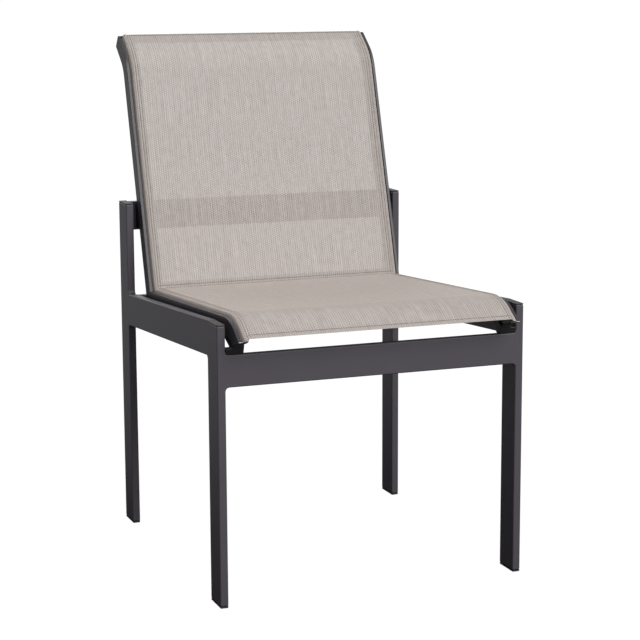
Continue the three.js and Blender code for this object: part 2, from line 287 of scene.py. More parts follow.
@dataclass(frozen=True)
class CoatedMesh(Finish):
    """Vinyl-coated polyester yarn, woven in a basket weave and heat set.

    The eye gets a warm grey cloth with rows of small gaps between round matt yarns, darkened as
    painted shade, uneven streaks along the warp, and a little of what lies behind it.
    """

    see_through: float
    yarn: str = "#beb6b2"
    yarn_dark: str = "#a8a09b"
    # colour of the weave's low spots between the yarns: painted shade
    gap: str = "#877e78"
    sheen: float = 0.5
    sheen_tint: str = "#fff0e4"
    cell: float = 4.1 * MM  # real yarn pairs are about 2 mm apart; drawn coarser so that they show
    wander: float = 0.5 * MM  # how far the yarns stray from straight
    wander_size: float = 18 * MM
    relief: float = 0.35 * MM
    streak: tuple[float, float] = (2.1 * MM, 100 * MM)  # a streak's size across and along
    patch: tuple[float, float] = (9 * MM, 14 * MM)

    def shade(self, tree: bpy.types.NodeTree) -> bpy.types.NodeSocket:
        """Adds the nodes that shade the surface.

        Args:
            tree: The material's node tree.

        Returns:
            The shader's socket.
        """
        cloth = add_node(tree, "UVMap", uv_map="cloth").outputs["UV"]
        height = self._weave(tree, cloth)
        streaks = self._noise(tree, cloth, self.streak)
        uneven = {"Value": streaks, "From Min": 0.28, "From Max": 0.72}
        strong = add_node(tree, "MapRange", uneven)
        yarns = {0: strong.outputs["Result"], 6: linear(self.yarn_dark), 7: linear(self.yarn)}
        yarn = add_node(tree, "Mix", yarns, data_type="RGBA")
        patches = self._noise(tree, cloth, self.patch)
        # the gap colour, painted shade, goes where the weave's height is low
        shown = add_node(tree, "Math", {0: height, 1: patches}, operation="ADD")
        closed = {"Value": shown.outputs[0], "From Min": 0.3, "From Max": 1.3}
        filled = add_node(tree, "MapRange", closed)
        colours = {0: filled.outputs["Result"], 6: linear(self.gap), 7: yarn.outputs[2]}
        colour = add_node(tree, "Mix", colours, data_type="RGBA")
        relief = {"Strength": 0.4, "Distance": self.relief, "Height": height}
        surface = {
            "Base Color": colour.outputs[2],
            "Roughness": 0.72,
            "IOR": 1.48,
            "Specular IOR Level": 0.35,
            "Sheen Weight": self.sheen,
            "Sheen Roughness": 0.35,
            "Sheen Tint": linear(self.sheen_tint),
            "Alpha": 1 - self.see_through,
            "Normal": add_node(tree, "Bump", relief).outputs["Normal"],
        }
        return add_node(tree, "BsdfPrincipled", surface).outputs["BSDF"]

    def _weave(
        self, tree: bpy.types.NodeTree, cloth: bpy.types.NodeSocket
    ) -> bpy.types.NodeSocket:
        """Adds the weave's height: 1 on the yarns, and 0 in the gaps between them.

        Args:
            tree: The material's node tree.
            cloth: The flat cloth's place, in metres.

        Returns:
            The height's socket.
        """
        axes = add_node(tree, "SeparateXYZ", {0: self._stray(tree, cloth)})
        warp = self._wave(tree, axes.outputs["X"])
        weft = self._wave(tree, self._bonded(tree, axes))
        over = add_node(tree, "Math", {0: warp, 1: weft}, operation="MULTIPLY")
        crossing = add_node(tree, "Math", {0: over.outputs[0]}, operation="ABSOLUTE")
        rounded = {"Value": crossing.outputs[0], "From Min": 0.0, "From Max": 0.55}
        height = add_node(tree, "MapRange", rounded, interpolation_type="SMOOTHSTEP")
        return height.outputs["Result"]

    def _noise(
        self,
        tree: bpy.types.NodeTree,
        cloth: bpy.types.NodeSocket,
        size: tuple[float, float],
    ) -> bpy.types.NodeSocket:
        """Adds a stretched noise.

        Args:
            tree: The material's node tree.
            cloth: The flat cloth's place, in metres.
            size: The noise's size across and along the warp, in metres.

        Returns:
            The noise's socket.
        """
        across, along = size
        scale = (1 / across, 1 / along, 1.0)
        place = add_node(tree, "Mapping", {"Vector": cloth, "Scale": scale})
        noise = {"Vector": place.outputs[0], "Scale": 1.0, "Detail": 2.0}
        return add_node(tree, "TexNoise", noise).outputs["Fac"]

    def _stray(
        self, tree: bpy.types.NodeTree, cloth: bpy.types.NodeSocket
    ) -> bpy.types.NodeSocket:
        """Moves the cloth's places a little, as woven yarns are never quite straight.

        Args:
            tree: The material's node tree.
            cloth: The flat cloth's place, in metres.

        Returns:
            The moved place.
        """
        waves = {"Vector": cloth, "Scale": 1 / self.wander_size, "Detail": 1.0}
        noise = add_node(tree, "TexNoise", waves)
        reach = (2 * self.wander,) * 3
        shift = {0: noise.outputs["Color"], 1: reach, 2: cloth}
        return add_node(tree, "VectorMath", shift, operation="MULTIPLY_ADD").outputs[0]

    def _bonded(
        self, tree: bpy.types.NodeTree, axes: bpy.types.Node
    ) -> bpy.types.NodeSocket:
        """Shifts every second column of the weave by half a cell, like standing bricks.

        Args:
            tree: The material's node tree.
            axes: The node that splits the cloth's place.

        Returns:
            The shifted distance along the warp.
        """
        place = {0: axes.outputs["X"], 1: self.cell}
        columns = add_node(tree, "Math", place, operation="DIVIDE")
        column = add_node(tree, "Math", {0: columns.outputs[0]}, operation="FLOOR")
        shift = {0: column.outputs[0], 1: self.cell / 2, 2: axes.outputs["Y"]}
        return add_node(tree, "Math", shift, operation="MULTIPLY_ADD").outputs[0]

    def _wave(self, tree: bpy.types.NodeTree, along: bpy.types.NodeSocket) -> bpy.types.NodeSocket:
        """Adds one direction's wave, with a period of two yarns.

        Args:
            tree: The material's node tree.
            along: Distance across the yarns, in metres.

        Returns:
            The wave's socket.
        """
        turns = add_node(tree, "Math", {0: along, 1: math.pi / self.cell}, operation="MULTIPLY")
        return add_node(tree, "Math", {0: turns.outputs[0]}, operation="SINE").outputs[0]


@dataclass(frozen=True)
class SewingThread(Finish):
    """Bonded polyester thread, twisted from three plies.

    The eye gets short rounded dashes, a shade darker than the cloth, with a slight sheen.
    """

    name: str = "bonded_polyester_thread"
    colour: str = "#81776f"
    # the noise's darker share stands for the grooves between the plies: painted shade
    ply_tone: float = 0.8  # share of the colour between the plies
    twist: float = 0.8 * MM

    def shade(self, tree: bpy.types.NodeTree) -> bpy.types.NodeSocket:
        """Adds the nodes that shade the surface.

        Args:
            tree: The material's node tree.

        Returns:
            The shader's socket.
        """
        place = add_node(tree, "TexCoord").outputs["Object"]
        twist = {"Vector": place, "Scale": 1 / self.twist, "Detail": 1.0}
        plies = add_node(tree, "TexNoise", twist)
        light = linear(self.colour)
        dark = (*(c * self.ply_tone for c in light[:3]), 1.0)
        # noise patches darkened as painted shade between the plies
        colours = {0: plies.outputs["Fac"], 6: dark, 7: light}
        colour = add_node(tree, "Mix", colours, data_type="RGBA")
        surface = {"Base Color": colour.outputs[2], "Roughness": 0.5, "IOR": 1.55}
        return add_node(tree, "BsdfPrincipled", surface).outputs["BSDF"]


@dataclass(frozen=True)
class StudioPaper(Finish):
    """Matt white paper, lit from below so that shadows on it stay faint in the picture.

    To the chair it is dark nearby and grey further out, as if dark cloth lay round the legs.
    """

    name: str = "matt_white_paper"
    seen: str = "#ffffff"
    near: float = 0.4  # where the grey starts, in metres
    far: float = 1.9
    near_tone: float = 0.02
    far_tone: float = 0.34
    glow: float = 1.03
    shadow_share: float = 0.06

    def shade(self, tree: bpy.types.NodeTree) -> bpy.types.NodeSocket:
        """Adds the nodes that shade the surface.

        Args:
            tree: The material's node tree.

        Returns:
            The shader's socket.
        """
        seen = add_node(tree, "LightPath").outputs["Is Camera Ray"]
        place = add_node(tree, "TexCoord").outputs["Object"]
        away = add_node(tree, "VectorMath", {0: place}, operation="LENGTH")
        fade = {
            "Value": away.outputs["Value"],
            "From Min": self.near,
            "From Max": self.far,
            "To Min": self.near_tone,
            "To Max": self.far_tone,
        }
        tone = add_node(tree, "MapRange", fade)
        colours = {0: seen, 6: tone.outputs["Result"], 7: linear(self.seen)}
        colour = add_node(tree, "Mix", colours, data_type="RGBA")
        paper = add_node(tree, "BsdfDiffuse", {"Color": colour.outputs[2]})
        glow = add_node(tree, "Emission", {"Strength": self.glow})
        share = add_node(tree, "Math", {0: seen, 1: 1 - self.shadow_share}, operation="MULTIPLY")
        layers = {0: share.outputs[0], 1: paper.outputs["BSDF"], 2: glow.outputs["Emission"]}
        return add_node(tree, "MixShader", layers).outputs["Shader"]


def spread(first: float, last: float, steps: int) -> list[float]:
    """Lists evenly spaced values.

    Args:
        first: The first value.
        last: The last value.
        steps: How many steps there are between them.

    Returns:
        The values, one more than there are steps.
    """
    return [first + (last - first) * i / steps for i in range(steps + 1)]


def deselect_all() -> None:
    """Leaves object mode with nothing selected."""
    if bpy.context.object is not None and bpy.context.object.mode != "OBJECT":
        bpy.ops.object.mode_set(mode="OBJECT")
    bpy.ops.object.select_all(action="DESELECT")


def pick(piece: bpy.types.Object) -> None:
    """Makes a piece the only selected and active object.

    Args:
        piece: The object.
    """
    deselect_all()
    piece.select_set(True)
    bpy.context.view_layer.objects.active = piece


def finish_piece(
    piece: bpy.types.Object,
    name: str,
    material: bpy.types.Material,
    replaced: Iterable[str] = (),
) -> bpy.types.Object:
    """Names a piece, gives it its finish, and lets it ride on the chair.

    Args:
        piece: The finished mesh object.
        name: The piece's name.
        material: Its material.
        replaced: CAD nodes that it stands for.

    Returns:
        The same object.
    """
    pick(piece)
    bpy.ops.object.transform_apply(location=True, rotation=True, scale=True)
    piece.name = name
    piece.data.name = name
    piece.data.materials.clear()
    piece.data.materials.append(material)
    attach(piece, BODY)
    if replaced:
        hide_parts(*replaced)
    triangles = sum(len(p.vertices) - 2 for p in piece.data.polygons)
    log.info("%s: %d triangles", name, triangles)
    return piece


def box_piece(low: Vector, high: Vector) -> bpy.types.Object:
    """Adds a cube between two corners.

    Args:
        low: Lowest corner, in metres.
        high: Highest corner, in metres.

    Returns:
        The cube, with its place in its mesh.
    """
    deselect_all()
    bpy.ops.mesh.primitive_cube_add(size=1, location=(low + high) / 2, scale=high - low)
    cube = bpy.context.object
    bpy.ops.object.transform_apply(location=True, rotation=True, scale=True)
    return cube


def add_modifier(piece: bpy.types.Object, kind: str, **settings: Any) -> None:
    """Adds a modifier to a piece and applies it.

    Args:
        piece: The object.
        kind: The modifier's type.
        **settings: Its settings, by name.
    """
    pick(piece)
    bpy.ops.object.modifier_add(type=kind)
    modifier = piece.modifiers[-1]
    for name, value in settings.items():
        setattr(modifier, name, value)
    bpy.ops.object.modifier_apply(modifier=modifier.name)


def combine(piece: bpy.types.Object, operation: str, other: bpy.types.Object) -> None:
    """Joins another solid to a piece or cuts it away, and uses it up.

    Args:
        piece: The object that stays.
        operation: UNION or DIFFERENCE.
        other: The solid that is joined or cut away.
    """
    add_modifier(piece, "BOOLEAN", operation=operation, solver="EXACT", object=other)
    bpy.data.objects.remove(other)


def merge_flat(piece: bpy.types.Object) -> None:
    """Clears the cuts that joins left on a piece's flat faces.

    Args:
        piece: The object.
    """
    pick(piece)
    bpy.ops.object.mode_set(mode="EDIT")
    bpy.ops.mesh.select_all(action="SELECT")
    bpy.ops.mesh.remove_doubles(threshold=SAME_PLACE)
    bpy.ops.mesh.dissolve_limited(angle_limit=SAME_FACE)
    bpy.ops.object.mode_set(mode="OBJECT")


def round_edges(piece: bpy.types.Object, radius: float) -> None:
    """Rounds a metal piece's edges, and keeps the shading of its flat faces flat.

    Args:
        piece: The object.
        radius: The edges' radius, in metres.
    """
    add_modifier(
        piece,
        "BEVEL",
        width=radius,
        segments=3,
        limit_method="ANGLE",
        angle_limit=ROUNDED_EDGE,
        use_clamp_overlap=False,
    )
    pick(piece)
    bpy.ops.object.shade_smooth_by_angle(angle=SHARP_EDGE)
    add_modifier(piece, "WEIGHTED_NORMAL", keep_sharp=True)


def select_parts(piece: bpy.types.Object, kind: str, chosen: Callable[[Any], bool]) -> int:
    """Goes into edit mode with only the chosen corners or edges selected.

    Args:
        piece: The mesh object.
        kind: VERT for corners, or EDGE for edges.
        chosen: Says whether a corner or an edge is wanted.

    Returns:
        How many are selected.
    """
    pick(piece)
    bpy.ops.object.mode_set(mode="EDIT")
    bpy.ops.mesh.select_mode(type=kind)
    bpy.ops.mesh.select_all(action="DESELECT")
    mesh = bmesh.from_edit_mesh(piece.data)
    wanted = [part for part in (mesh.verts if kind == "VERT" else mesh.edges) if chosen(part)]
    for part in wanted:
        part.select = True
    mesh.select_flush_mode()
    bmesh.update_edit_mesh(piece.data)
    return len(wanted)


def lift_corners(box: bpy.types.Object, chosen: Callable[[Vector], bool], rise: float) -> None:
    """Lifts some of a box's corners.

    Args:
        box: The box.
        chosen: Says by its place whether a corner is wanted.
        rise: How far they go up, in metres.
    """
    select_parts(box, "VERT", lambda corner: chosen(corner.co))
    bpy.ops.transform.translate(value=(0, 0, rise))
    bpy.ops.object.mode_set(mode="OBJECT")


@dataclass
class BaseFrame:
    """The welded base: four legs, two side rails, the front and rear rails and the brace."""

    coat: bpy.types.Material
    fillet: float = 6.5 * MM
    shortest_weld: float = 8 * MM
    edge_radius: float = 2.2 * MM
    overlap: float = 0.5 * MM  # how far a rail's end runs into the leg that it is welded to
    side_rail_height: float = 58 * MM

    def build(self) -> bpy.types.Object:
        """Builds the base as one welded piece.

        Returns:
            The piece.
        """
        legs = [f"{end}_{side.label}_leg" for end in ("front", "rear") for side in Side]
        cross_rails = ["front_rail", "rear_rail", "back_brace"]
        base, *tubes = [box_piece(*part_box(leg)) for leg in legs]
        tubes += [self._side_rail(side) for side in Side]
        tubes += [self._cross_rail(name) for name in cross_rails]
        for tube in tubes:
            combine(base, "UNION", tube)
        merge_flat(base)
        self._fillet_welds(base)
        round_edges(base, self.edge_radius)
        replaced = [*legs, *(f"{side.label}_side_rail" for side in Side), *cross_rails]
        return finish_piece(base, "base_frame", self.coat, replaced)

    def _side_rail(self, side: Side) -> bpy.types.Object:
        """Builds one side rail, a box whose front end is lifted.

        Args:
            side: The chair's side.

        Returns:
            The rail.
        """
        low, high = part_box(f"{side.label}_side_rail")
        leg_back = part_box(f"front_{side.label}_leg")[1].y
        rail = box_piece(
            Vector((low.x, leg_back - self.overlap, low.z)),
            Vector((high.x, high.y + self.overlap, low.z + self.side_rail_height)),
        )
        rise = high.z - low.z - self.side_rail_height
        lift_corners(rail, lambda corner: corner.y < 0, rise)
        return rail

    def _cross_rail(self, name: str) -> bpy.types.Object:
        """Builds a rail that runs from leg to leg.

        Args:
            name: The CAD node that it follows.

        Returns:
            The rail.
        """
        low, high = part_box(name)
        reach = Vector((self.overlap, 0, 0))
        return box_piece(low - reach, high + reach)

    def _fillet_welds(self, base: bpy.types.Object) -> None:
        """Rounds the inner corners where rails meet legs, as ground welds.

        Args:
            base: The joined tubes.
        """
        count = select_parts(base, "EDGE", self._is_weld)
        bpy.ops.mesh.bevel(offset=self.fillet, segments=5, profile=0.5, clamp_overlap=False)
        bpy.ops.object.mode_set(mode="OBJECT")
        log.info("base_frame: %d weld edges", count)

    def _is_weld(self, edge: bmesh.types.BMEdge) -> bool:
        """Says whether an edge is an inner corner between a rail and a leg.

        Args:
            edge: An edge of the joined tubes.

        Returns:
            True if it gets a fillet.
        """
        if len(edge.link_faces) != 2 or edge.is_convex:
            return False
        return edge.calc_face_angle() >= SHARP_EDGE and edge.calc_length() > self.shortest_weld


def heading(angle: float) -> Vector:
    """The unit vector of an angle in the side view, as depth and height."""
    return Vector((math.cos(angle), math.sin(angle)))


def outward(way: Vector) -> Vector:
    """The direction out of the sling's face, for a heading."""
    return Vector((-way.y, way.x))


@dataclass(frozen=True)
class Run:
    """A straight run or a bend of the rails' lip in the side view.

    angle is its heading at the start, and turn how far the heading turns along it.
    """

    length: float
    start: Vector
    angle: float
    turn: float = 0.0

    @property
    def end(self) -> Vector:
        """The run's end point."""
        return self.at(self.length)[0]

    def at(self, distance: float) -> tuple[Vector, Vector]:
        """Finds a point of the run.

        Args:
            distance: Metres from its start.

        Returns:
            The point and the heading there.
        """
        way = heading(self.angle)
        if self.turn == 0:
            return self.start + way * distance, way
        radius = self.length / self.turn
        now = heading(self.angle + self.turn * distance / self.length)
        centre = self.start + outward(way) * radius
        return centre - outward(now) * radius, now


@dataclass
class SideProfile:
    """The sling rails' lip in the side view, in metres, from the tips to the top.

    Distances run along the lip. The seat runs from the tip to the crease and the back from
    the crease to the top.
    """

    tip_drop: float = math.radians(33)
    tip_cut: float = math.radians(39)
    tip_stub: float = 8.9 * MM
    tip_reach: float = 4.9 * MM
    rail_depth: float = 26 * MM
    waterfall_radius: float = 87 * MM
    seat_rise: float = math.radians(3.6)
    crease_setback: float = 110 * MM
    back_lean: float = math.radians(17.3)
    back_run: float = 406 * MM
    scroll_radius: float = 80 * MM
    scroll_lean: float = math.radians(52)
    scroll_run: float = 42.5 * MM
    bracket_height: float = 15.2 * MM
    runs: dict[Panel, list[Run]] = field(init=False)

    def __post_init__(self) -> None:
        """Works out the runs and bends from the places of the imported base."""
        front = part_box("front_left_leg")[0].y
        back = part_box("rear_left_leg")[1].y
        corner = Vector((front - self.tip_reach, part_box("front_rail")[1].z + self.bracket_height))
        ahead = heading(self.tip_drop)
        cut = outward(ahead) - ahead * math.tan(self.tip_cut)
        stub_run = self.tip_stub + self.rail_depth * math.tan(self.tip_cut)
        stub = Run(stub_run, corner + cut * self.rail_depth, self.tip_drop)
        bend = self.tip_drop + self.seat_rise
        waterfall = Run(bend * self.waterfall_radius, stub.end, self.tip_drop, -bend)
        seat_run = back - self.crease_setback - waterfall.end.x
        seat_run /= heading(-self.seat_rise).x
        seat = Run(seat_run, waterfall.end, -self.seat_rise)
        lean = math.pi / 2 - self.back_lean
        top_lean = math.pi / 2 - self.scroll_lean
        rise = Run(self.back_run, seat.end, lean)
        turn = top_lean - lean
        scroll = Run(-turn * self.scroll_radius, rise.end, lean, turn)
        top = Run(self.scroll_run, scroll.end, top_lean)
        self.runs = {Panel.SEAT: [stub, waterfall, seat], Panel.BACK: [rise, scroll, top]}

    def length(self, panel: Panel) -> float:
        """The lip's length under a panel, in metres."""
        return sum(run.length for run in self.runs[panel])

    def at(self, panel: Panel, distance: float) -> tuple[Vector, Vector]:
        """Finds a point of the lip.

        Args:
            panel: The panel that it is under.
            distance: Metres from the panel's lower end.

        Returns:
            The point and the heading there, as depth and height.
        """
        *before, last = self.runs[panel]
        for run in before:
            if distance <= run.length:
                return run.at(distance)
            distance -= run.length
        return last.at(distance)

    def stops(self, panel: Panel, straight: float, bent: float) -> list[float]:
        """Lists distances for a mesh's rows.

        Args:
            panel: The panel.
            straight: Row spacing on straight runs.
            bent: Row spacing on bends.

        Returns:
            Rising distances from 0 to the panel's length.
        """
        found = [0.0]
        for run in self.runs[panel]:
            count = max(1, round(run.length / (bent if run.turn else straight)))
            found += spread(found[-1], found[-1] + run.length, count)[1:]
        return found


@dataclass(frozen=True)
class Column:
    """A line of the cloth that runs along the rails.

    flat is its distance over the cloth from the middle, x its place across the chair, and
    height its distance over the rails' lip.
    """

    flat: float
    x: float
    height: float


@dataclass
class SlingPanel:
    """One stretched panel.

    The cloth goes over the rails' shoulders into their grooves, round the spline rods and
    back under itself. Its ends are folded under and stitched down.
    """

    panel: Panel
    profile: SideProfile
    cloth: bpy.types.Material
    thread: bpy.types.Material
    rail_width: float = 16.5 * MM
    lip: float = 5 * MM
    groove: float = 3 * MM
    groove_depth: float = 2.5 * MM
    channel: float = 3.2 * MM
    loop: float = 1.8 * MM  # radius of the hem's pocket round the spline rod
    loop_turn: tuple[float, float] = (50, -230)  # degrees, where 0 points inwards
    neck: float = 1 * MM  # from the groove's inner wall to between the hem's layers in it
    layer_gap: float = 0.3 * MM  # half of the space between these layers
    side_share: float = 0.5  # how much closer the cloth lies at the shoulder's side
    shoulder_rise: float = 5 * MM
    shoulder_reach: float = 5.3 * MM
    under: float = 0.45 * MM  # from the rail to the hem's lower layer
    over: float = 1.15 * MM  # and to the cloth over it
    past_hem: float = 0.25 * MM  # how much lower the single cloth lies than over the hem
    side_hem: float = 11 * MM  # raw edge, from the shoulder's top
    side_rows: tuple[float, ...] = (1.5 * MM, 6.3 * MM)  # stitches, from the shoulder's top
    end_hem: float = 13 * MM
    top_hem: float = 24 * MM
    hem_setback: float = 1.5 * MM  # from the rails' inner faces to the end hems
    front_row: float = 7.5 * MM  # stitches, from the seat's front end
    top_row: float = 2.5 * MM  # stitches, from the back's top end
    crease_row: float = 5 * MM
    seam_gap: float = 0.8 * MM
    top_setback: float = 4.5 * MM
    tip_setback: float = 6 * MM
    sag: float = 1.2 * MM
    row_dip: float = 0.4 * MM
    row_width: float = 0.6 * MM
    tip_lap: float = 4.5 * MM  # how much further the cloth reaches over the rails' tips
    lap_fade: float = 2 * MM  # across which that sets in, from the rails' inner faces
    bend_zone: float = 30 * MM  # over which the rows turn from square to the rails' cuts
    edge_lines: tuple[float, ...] = (4 * MM, 9 * MM, 20 * MM)  # mesh lines by the shoulder
    raw_edge_line: float = 0.4 * MM  # from the raw edge to the mesh line on either side of it
    straight_rows: float = 8 * MM  # mesh row spacing on straight runs
    bent_rows: float = 3 * MM
    row_shares: tuple[float, ...] = (-1.5, -0.75, 0, 0.75, 1.5)  # mesh lines, in row widths
    open_steps: int = 18  # of the mesh, from the last edge line to the middle
    shoulder_steps: int = 10
    side_hem_steps: int = 4
    loop_steps: int = 14
    end_hem_steps: int = 5
    fold_steps: int = 6
    across_steps: int = 48
    side_row_steps: int = 160
    cross_row_steps: int = 120
    stitch: float = 3.2 * MM
    stitch_pitch: float = 4.2 * MM
    thread_radius: float = 0.42 * MM
    stitch_end: float = 0.25 * MM  # the rounding of a stitch's ends
    stitch_lift: float = 0.35 * MM  # from the pulled-in cloth to the thread's middle
    side_row_setback: float = 2 * MM  # from the cloth's ends to the side rows
    cross_row_setback: float = 1 * MM  # from the shoulders' tops to the rows across
    half_width: float = field(init=False)

    def __post_init__(self) -> None:
        """Takes the rails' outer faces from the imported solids."""
        self.half_width = -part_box(f"left_{self.panel.value}_rail")[0].x

    @property
    def shoulder(self) -> float:
        """The shoulder's top, as distance in from the rail's outer face."""
        return self.lip + self.groove + self.shoulder_reach

    @property
    def span(self) -> float:
        """X of the shoulder's top."""
        return self.half_width - self.shoulder

    @property
    def clear_span(self) -> float:
        """X of the rail's inner face."""
        return self.half_width - self.rail_width

    @property
    def surface(self) -> float:
        """Height of the stretched cloth over the lip."""
        return self.shoulder_rise + self.over

    @property
    def ends(self) -> tuple[float, float]:
        """The lower and upper end of the cloth along the lip.

        Returns:
            Two distances along the lip.
        """
        length = self.profile.length(self.panel)
        if self.panel is Panel.SEAT:
            return self.tip_setback, length - self.seam_gap / 2
        return self.seam_gap / 2, length - self.top_setback

    @property
    def end_rows(self) -> tuple[float, ...]:
        """The stitch rows across the cloth.

        Returns:
            Their distances along the lip.
        """
        low, high = self.ends
        if self.panel is Panel.SEAT:
            return (low + self.front_row,)
        return low + self.crease_row, high - self.top_row

    def build(self) -> None:
        """Builds the panel, its hems and its stitches."""
        name = f"{self.panel.value}_sling"
        columns = self._columns()
        rows = self._rows()
        points = [[self._place(c.x, self._height(c, r), r) for c in columns] for r in rows]
        flat = [[(c.flat, r) for c in columns] for r in rows]
        cloth = self._sheet(f"{name}_cloth", points, flat, [name])
        extras = [self._end_hem(end) for end in ("low", "high")] + self._stitches()
        rails = [f"{side.label}_{self.panel.value}_rail" for side in Side]

    def _round_shoulder(self, lift: float, start: float, stop: float) -> list[tuple[float, float]]:
        """Follows the outer shoulder.

        Args:
            lift: Distance from the rail.
            start: First angle, in degrees, where 90 is the shoulder's top.
            stop: Last angle.

        Returns:
            Points as distance in from the rail's outer face, and height over the lip.
        """
        angles = [math.radians(angle) for angle in spread(start, stop, self.shoulder_steps)]
        reach = self.shoulder_reach + lift * self.side_share
        rise = self.shoulder_rise + lift
        return [(self.shoulder + reach * math.cos(a), rise * math.sin(a)) for a in angles]

    def _half_section(self) -> list[tuple[float, float]]:
        """The cloth's line on the left, from its raw edge to the shoulder's top.

        Returns:
            Points as distance in from the rail's outer face, and height over the lip.
        """
        middle = self.lip + self.groove / 2
        drop = self.groove_depth + math.sqrt(self.channel**2 - (self.groove / 2) ** 2)
        lower = self.shoulder_rise + self.under
        hem = spread(self.side_hem, 0, self.side_hem_steps)[:-1]
        points = [(self.shoulder + across, lower) for across in hem]
        points += self._round_shoulder(self.under, 90, 180)
        neck = self.lip + self.groove - self.neck
        points.append((neck + self.layer_gap, -self.groove_depth))
        for degrees in spread(*self.loop_turn, self.loop_steps):
            angle = math.radians(degrees)
            across = middle + self.loop * math.cos(angle)
            points.append((across, -drop + self.loop * math.sin(angle)))
        points.append((neck - self.layer_gap, -self.groove_depth))
        return points + self._round_shoulder(self.over, 180, 90)

    def _beside(self, rows: Iterable[float]) -> set[float]:
        """Places mesh lines on and beside stitch rows, so that the cloth can dip there.

        Args:
            rows: The stitch rows' places.

        Returns:
            The mesh lines' places.
        """
        return {row + self.row_width * share for row in rows for share in self.row_shares}

    def _columns(self) -> list[Column]:
        """Lists the columns of the cloth.

        Returns:
            The columns, from the cloth's left raw edge to its right one.
        """
        raw_edge = {self.side_hem - self.raw_edge_line, self.side_hem + self.raw_edge_line}
        spans = sorted({*self.edge_lines, *raw_edge, *self._beside(self.side_rows)})
        spans += spread(spans[-1], self.span, self.open_steps)[1:]
        line = [(-self.half_width + across, height) for across, height in self._half_section()]
        line += [(-self.span + s, self.surface) for s in spans]
        flat = [0.0]
        for start, end in zip(line, line[1:]):
            flat.append(flat[-1] + math.dist(start, end))
        left = [Column(d - flat[-1], x, h) for d, (x, h) in zip(flat, line)]
        return left + [Column(-c.flat, -c.x, c.height) for c in reversed(left[:-1])]

    def _rows(self) -> list[float]:
        """Lists the rows of the cloth.

        Returns:
            Their distances along the lip.
        """
        low, high = self.ends
        marks = {low, high, *self._beside(self.end_rows)}
        stops = self.profile.stops(self.panel, self.straight_rows, self.bent_rows)
        apart = 2 * self.row_width
        clear = [s for s in stops if all(abs(s - mark) > apart for mark in marks)]
        return sorted([*(s for s in clear if low < s < high), *marks])

    def _height(self, column: Column, row: float) -> float:
        """The height of one point of the cloth, with the stitches pulling it in.

        Args:
            column: The point's column.
            row: Its distance along the lip.

        Returns:
            The height over the lip.
        """
        inside = self.span - abs(column.x)
        if inside < 0 or column.height < self.surface - SAME_PLACE:
            return column.height
        gaps = [abs(inside - mark) for mark in self.side_rows]
        gaps += [abs(row - mark) for mark in self.end_rows]
        dip = self.row_dip * math.exp(-((min(gaps) / self.row_width) ** 2))
        return column.height - dip - (self.past_hem if inside > self.side_hem else 0.0)

    def _place(self, x: float, height: float, row: float) -> list[float]:
        """Places one point of the panel.

        Args:
            x: Its place across the chair.
            height: Its height over the lip, if the panel didn't sag.
            row: Its distance along the lip.

        Returns:
            The point, in metres.
        """
        low, high = self.ends
        share = min(1.0, max(0.0, (row - low) / (high - low)))
        height -= self.sag * math.sin(math.pi * share) * max(0.0, 1 - (x / self.span) ** 2)
        if self.panel is Panel.SEAT and height > 0:
            over_rail = min(1.0, max(0.0, (abs(x) - self.clear_span) / self.lap_fade))
            near_tip = max(0.0, 1 - (row - low) / self.bend_zone)
            row -= self.tip_lap * over_rail * near_tip
        point, way = self.profile.at(self.panel, self._slanted(row, height))
        place = point + outward(way) * height
        return [x, place.x, place.y]

    def _slanted(self, row: float, height: float) -> float:
        """Moves a row near an end so that the end follows the rail's cut.

        Args:
            row: Distance along the lip.
            height: Height over the lip.

        Returns:
            The moved distance.
        """
        turn = self.profile.seat_rise + math.pi / 2 - self.profile.back_lean
        mitre = math.tan(turn / 2)
        after_start = max(0.0, 1 - row / self.bend_zone)
        if self.panel is Panel.BACK:
            return row + height * mitre * after_start
        before_end = max(0.0, 1 - (self.profile.length(self.panel) - row) / self.bend_zone)
        cut = math.tan(self.profile.tip_cut)
        return row - height * cut * after_start - height * mitre * before_end

    def _sheet(
        self,
        name: str,
        points: list[list[list[float]]],
        flat: list[list[tuple[float, float]]],
        replaced: Iterable[str] = (),
    ) -> bpy.types.Object:
        """Makes a sheet from rows of points, with its flat places in metres as its UV map.

        Args:
            name: The piece's name.
            points: Points by row and column.
            flat: Their places on the flat cloth.
            replaced: CAD nodes that it stands for.

        Returns:
            The piece.
        """
        columns = len(points[0])
        faces = []
        for r in range(len(points) - 1):
            for c in range(columns - 1):
                corner = r * columns + c
                faces.append((corner, corner + 1, corner + columns + 1, corner + columns))
        data = bpy.data.meshes.new(name)
        data.from_pydata([point for row in points for point in row], [], faces)
        places = [place for row in flat for place in row]
        layer = data.uv_layers.new(name="cloth")
        layer.uv.foreach_set(
            "vector", [part for loop in data.loops for part in places[loop.vertex_index]]
        )
        sheet = bpy.data.objects.new(name, data)
        bpy.context.scene.collection.objects.link(sheet)
        pick(sheet)
        bpy.ops.object.shade_smooth()
        return finish_piece(sheet, name, self.cloth, replaced)

    def _end_hem(self, end: str) -> bpy.types.Object:
        """Folds one end of the cloth under, between the rails.

        Args:
            end: "low" or "high", along the lip.

        Returns:
            The folded strip.
        """
        low, high = self.ends
        row, inward = (low, 1) if end == "low" else (high, -1)
        fold = (self.over - self.under) / 2
        at_top = self.panel is Panel.BACK and end == "high"
        depth = self.top_hem if at_top else self.end_hem
        lines = [(along, -2 * fold) for along in spread(depth, 0, self.end_hem_steps)[:-1]]
        for degrees in spread(-90, -270, self.fold_steps):
            angle = math.radians(degrees)
            lines.append((fold * math.cos(angle), fold * math.sin(angle) - fold))
        reach = self.clear_span - self.hem_setback
        xs = spread(-reach, reach, self.across_steps)
        points = []
        flat = []
        for along, lift in lines:
            at = row + inward * along
            points.append([self._place(x, self.surface + lift, at) for x in xs])
            flat.append([(x, row - inward * along) for x in xs])
        return self._sheet(f"{self.panel.value}_{end}_hem", points, flat)

